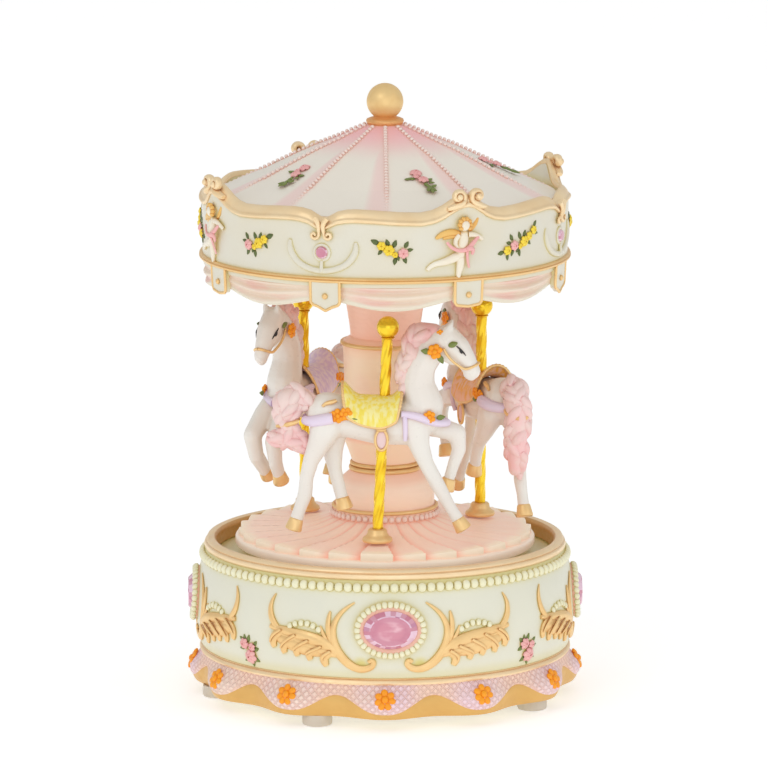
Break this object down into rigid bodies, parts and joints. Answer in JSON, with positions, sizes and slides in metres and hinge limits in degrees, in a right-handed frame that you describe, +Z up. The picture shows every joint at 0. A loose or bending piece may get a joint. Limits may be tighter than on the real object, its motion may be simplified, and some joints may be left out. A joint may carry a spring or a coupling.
{
  "type": "music box",
  "caption": "Wind-up carousel music box: horses on poles under a canopy turn on a round base that hides a spring-driven musical movement.",
  "frame": {"origin": "centre of the underside, on the surface that the feet stand on", "axes": "+Z up along the spindle; -Y is the front, with the front stone and the first horse"},
  "size_m": [0.1092, 0.1092, 0.1693],
  "materials": {
    "cream_resin": "cast polyresin, cream paint with a satin clear coat, gilt relief",
    "ivory_resin": "cast polyresin, ivory paint with gilt edges and pink swags",
    "blush_resin": "cast polyresin, pink wash over ivory",
    "white_resin": "cast polyresin, white satin paint",
    "gilt": "satin gold paint over cast resin",
    "polished_brass": "bright polished, yellow",
    "movement_brass": "machined",
    "pink_gem": "facetted acrylic stone, foiled back",
    "clear_foot": "translucent soft plastic bumper",
    "plate_board": "moulded disc, fine texture",
    "cast_zinc": "die-cast zinc alloy, as cast",
    "spring_steel": "ground"
  },
  "bodies": {
    "base": {"base_drum": "cream_resin", "base_plate": "plate_board", "plate_screw_1": "spring_steel", "plate_screw_2": "spring_steel", "plate_screw_3": "spring_steel", "foot_1": "clear_foot", "foot_2": "clear_foot", "foot_3": "clear_foot", "foot_4": "clear_foot", "foot_5": "clear_foot", "base_gem_front": "pink_gem", "base_gem_right": "pink_gem", "base_gem_back": "pink_gem", "base_gem_left": "pink_gem", "bedplate": "cast_zinc", "bedplate_screw_1": "spring_steel", "bedplate_screw_2": "spring_steel", "bedplate_screw_3": "spring_steel", "spindle_bush": "movement_brass", "comb": "spring_steel", "comb_screw_1": "spring_steel", "comb_screw_2": "spring_steel", "clutch_spring": "spring_steel", "governor_frame": "cast_zinc"},
    "carousel": {"platform": "blush_resin", "column": "blush_resin", "crown": "ivory_resin", "roof": "white_resin", "finial": "gilt", "crown_gem_1": "pink_gem", "crown_gem_2": "pink_gem", "crown_gem_3": "pink_gem", "crown_gem_4": "pink_gem", "pole_1": "polished_brass", "pole_2": "polished_brass", "pole_3": "polished_brass", "pole_knob_1": "polished_brass", "pole_knob_2": "polished_brass", "pole_knob_3": "polished_brass", "pole_foot_1": "gilt", "pole_foot_2": "gilt", "pole_foot_3": "gilt", "horse_1": "white_resin", "horse_2": "white_resin", "horse_3": "white_resin", "spindle": "spring_steel", "spindle_nut": "spring_steel", "spring_barrel": "movement_brass", "barrel_wheel": "movement_brass", "mainspring": "spring_steel"},
    "winder": {"winding_arbor": "spring_steel", "winding_key": "movement_brass"},
    "music_cylinder": {"cylinder": "movement_brass", "cylinder_shaft": "spring_steel", "cylinder_pinion": "movement_brass"},
    "train": {"train_wheel": "movement_brass"},
    "governor": {"governor_worm": "spring_steel", "governor_fan": "movement_brass"}
  },
  "joints": [
    {"name": "carousel_spin", "type": "hinge", "parent": "base", "child": "carousel", "pos_m": [0, 0, 0.0405], "axis": [0, 0, 1], "continuous": true},
    {"name": "key_turn", "type": "hinge", "parent": "base", "child": "winder", "pos_m": [0, 0, 0.01], "axis": [0, 0, 1], "continuous": true},
    {"name": "cylinder_spin", "type": "hinge", "parent": "base", "child": "music_cylinder", "pos_m": [0.025, 0, 0.025], "axis": [1, 0, 0], "continuous": true},
    {"name": "train_wheel_spin", "type": "hinge", "parent": "base", "child": "train", "pos_m": [0, -0.018, 0.026], "axis": [0, 0, 1], "continuous": true},
    {"name": "governor_spin", "type": "hinge", "parent": "base", "child": "governor", "pos_m": [0, -0.0251, 0.0256], "axis": [1, 0, 0], "continuous": true}
  ],
  "couplings": [
    {"joint": "cylinder_spin", "follows": "carousel_spin", "ratio": 3},
    {"joint": "train_wheel_spin", "follows": "carousel_spin", "ratio": -5},
    {"joint": "governor_spin", "follows": "carousel_spin", "ratio": 120}
  ]
}
